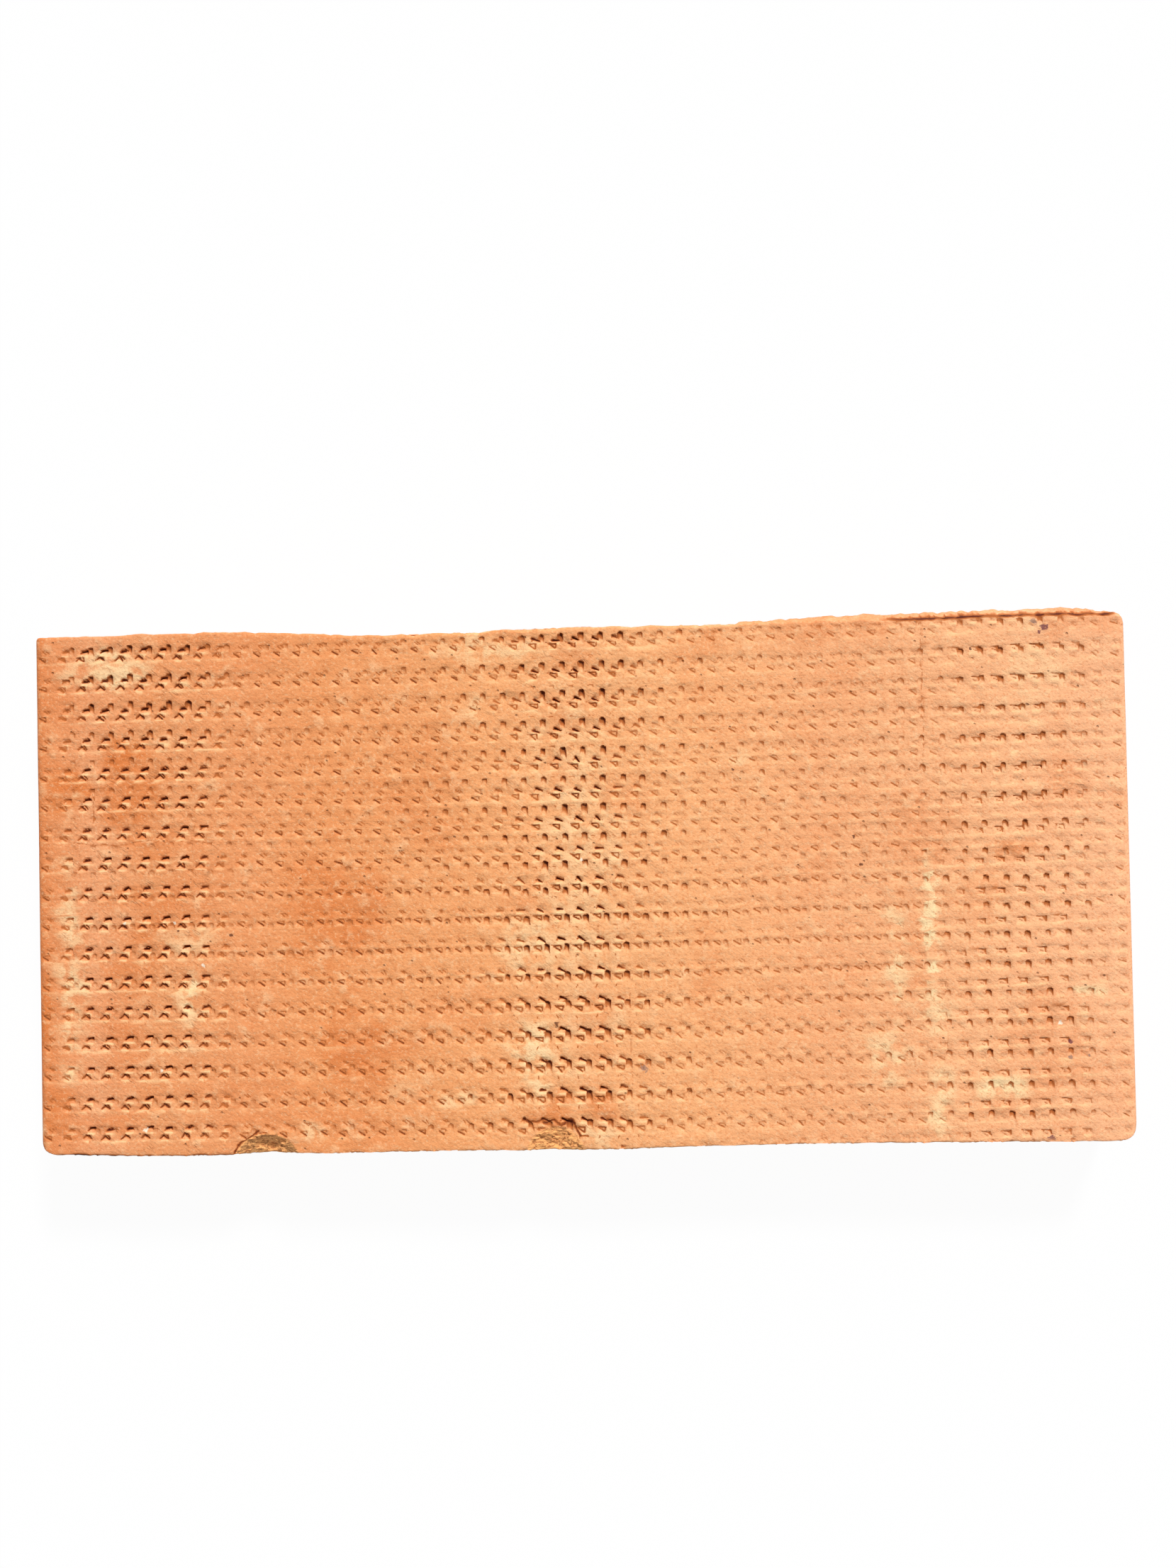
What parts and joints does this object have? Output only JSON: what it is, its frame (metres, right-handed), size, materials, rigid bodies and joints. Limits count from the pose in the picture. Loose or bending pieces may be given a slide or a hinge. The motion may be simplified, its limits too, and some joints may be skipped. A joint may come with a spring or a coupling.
{
  "type": "brick slip",
  "caption": "Thin facing slip of fired clay with a roller-marked face, wire-cut long edges and a flat sawn back, for bonding to a wall.",
  "frame": {"origin": "centre of the nominal footprint, on the flat sawn back", "axes": "+X along the length, +Y across the width towards the far wire-cut edge, +Z out of the textured face"},
  "size_m": [0.215, 0.1053, 0.022],
  "materials": {
    "terracotta": "unglazed matt orange terracotta, rolled and drag-textured, slightly mottled"
  },
  "bodies": {
    "root": {"slip": "terracotta"}
  },
  "joints": []
}
